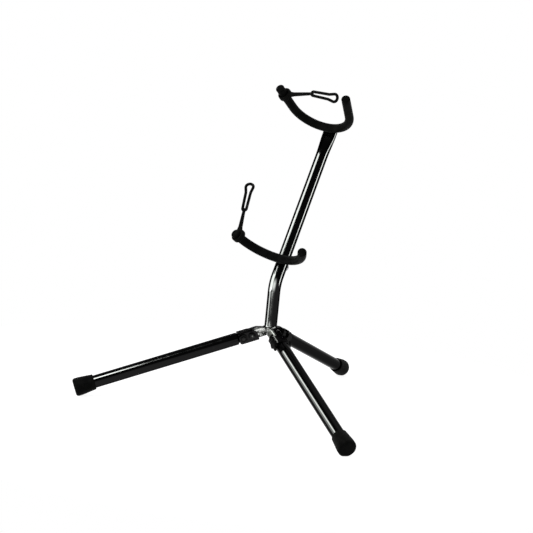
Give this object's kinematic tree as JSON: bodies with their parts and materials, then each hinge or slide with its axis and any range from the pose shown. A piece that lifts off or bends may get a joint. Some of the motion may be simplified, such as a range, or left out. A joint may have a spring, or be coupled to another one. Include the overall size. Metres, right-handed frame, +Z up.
{
  "type": "saxophone_stand",
  "caption": "Folding tripod saxophone stand with a bent gloss black upright, sleeved yokes, rubber straps and rubber feet",
  "frame": {"origin": "on the floor, in the middle of the bounding box", "axes": "+Z up, -Y to the front where the instrument sits, +X to the stand's left-to-right as seen from the front"},
  "size_m": [0.3874, 0.4044, 0.4011],
  "materials": {
    "gloss_black": "gloss",
    "black_sheet": "semi-gloss",
    "bright_sheet": "bright",
    "zinc": "zinc plated",
    "black_steel": "blackened",
    "rubber": "matte",
    "sleeve": "matte"
  },
  "bodies": {
    "stand_frame": {"front_left_pivot_rivet": "black_steel", "front_right_pivot_rivet": "black_steel", "back_pivot_rivet": "black_steel", "hub_bracket": "bright_sheet", "hub_bolt": "zinc", "hub_washer": "zinc", "upright_tube": "gloss_black", "upright_plug": "zinc", "upper_yoke_rod": "zinc", "upper_yoke_sleeve": "sleeve", "upper_yoke_tip_left": "sleeve", "upper_yoke_tip_right": "sleeve", "upper_yoke_washer": "zinc", "upper_yoke_nut": "zinc", "lower_yoke_rod": "zinc", "lower_yoke_sleeve": "sleeve", "lower_yoke_tip_left": "sleeve", "lower_yoke_tip_right": "sleeve", "lower_yoke_washer": "zinc", "lower_yoke_nut": "zinc"},
    "front_left_leg": {"front_left_leg_bracket": "black_sheet", "front_left_leg_tube": "gloss_black", "front_left_foot_cap": "rubber", "front_left_leg_bolt": "black_steel", "front_left_leg_nut": "black_steel"},
    "front_right_leg": {"front_right_leg_bracket": "black_sheet", "front_right_leg_tube": "gloss_black", "front_right_foot_cap": "rubber", "front_right_leg_bolt": "black_steel", "front_right_leg_nut": "black_steel"},
    "back_leg": {"back_leg_bracket": "black_sheet", "back_leg_tube": "gloss_black", "back_foot_cap": "rubber", "back_leg_bolt": "black_steel", "back_leg_nut": "black_steel"},
    "upper_strap_body": {"upper_strap": "rubber"},
    "lower_strap_body": {"lower_strap": "rubber"}
  },
  "joints": [
    {"name": "front_left_leg_fold", "type": "hinge", "parent": "stand_frame", "child": "front_left_leg", "pos_m": [-0.01895, -0.05753, 0.08828], "axis": [0.6307, -0.776, 0], "range_deg": [0, 70]},
    {"name": "front_right_leg_fold", "type": "hinge", "parent": "stand_frame", "child": "front_right_leg", "pos_m": [0.01895, -0.05753, 0.08828], "axis": [0.6307, 0.776, 0], "range_deg": [0, 70]},
    {"name": "back_leg_fold", "type": "hinge", "parent": "stand_frame", "child": "back_leg", "pos_m": [0, -0.01772, 0.08828], "axis": [-1, 0, 0], "range_deg": [0, 70]},
    {"name": "upper_strap_swivel", "type": "hinge", "parent": "stand_frame", "child": "upper_strap_body", "pos_m": [-0.04484, 0.02328, 0.38857], "axis": [-0.1611, -0.7815, 0.6028], "continuous": true},
    {"name": "lower_strap_swivel", "type": "hinge", "parent": "stand_frame", "child": "lower_strap_body", "pos_m": [-0.04632, -0.06433, 0.21033], "axis": [-0.3558, -0.7551, 0.5506], "continuous": true}
  ]
}
